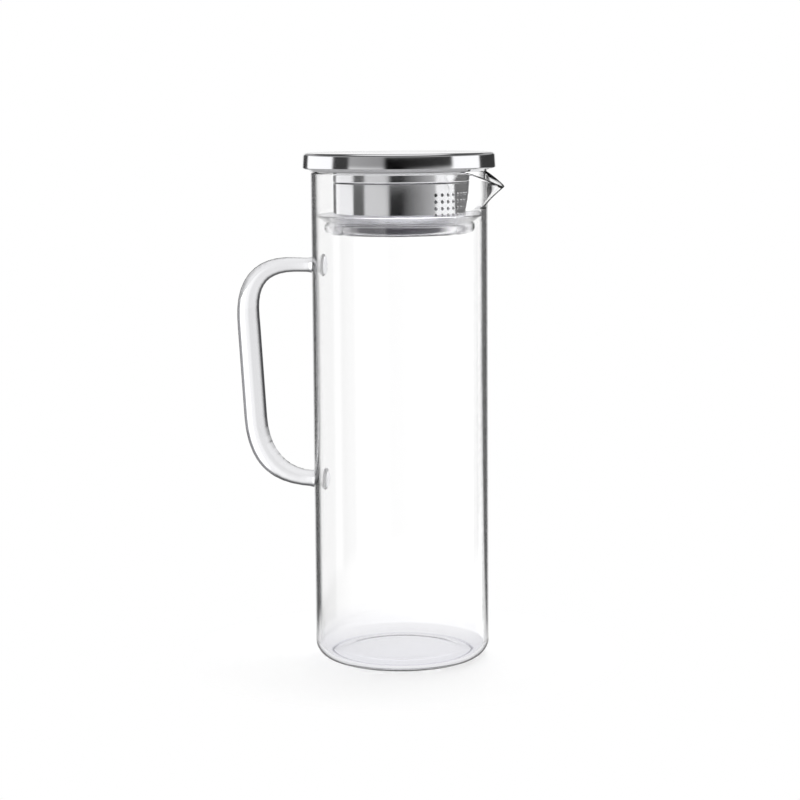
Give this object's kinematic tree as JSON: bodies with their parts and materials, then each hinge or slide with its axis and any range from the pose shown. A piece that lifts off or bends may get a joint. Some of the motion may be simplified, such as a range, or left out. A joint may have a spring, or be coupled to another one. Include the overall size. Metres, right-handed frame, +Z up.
{
  "type": "glass pitcher",
  "caption": "Tall cylindrical glass water pitcher with a pinched pouring lip, a welded glass rod handle and a flat steel lid whose perforated, silicone-sealed collar strains the pour.",
  "frame": {"origin": "on the jug's axis, in the flat underside that it stands on", "axes": "+Z up along the jug's axis, +X towards the pouring lip, -X towards the handle"},
  "size_m": [0.1475, 0.0984, 0.26],
  "materials": {
    "body_glass": "clear borosilicate, fire polished",
    "handle_glass": "clear borosilicate rod",
    "polished_steel": "polished stainless steel",
    "pressed_steel": "bright pressed stainless steel",
    "sleeve_steel": "fine polished stainless steel",
    "silicone": "moulded translucent silicone"
  },
  "bodies": {
    "jug": {"glass_body": "body_glass", "glass_handle": "handle_glass"},
    "seal": {"seal_ring": "silicone"},
    "lid": {"lid_cap": "polished_steel", "lid_base": "pressed_steel", "strainer_sleeve": "sleeve_steel"}
  },
  "joints": [
    {"name": "lid_lift", "type": "slide", "parent": "jug", "child": "seal", "axis": [0, 0, 1], "range_m": [0, 0.08]},
    {"name": "lid_turn", "type": "hinge", "parent": "seal", "child": "lid", "pos_m": [0, 0, 0.2506], "axis": [0, 0, 1], "continuous": true}
  ]
}
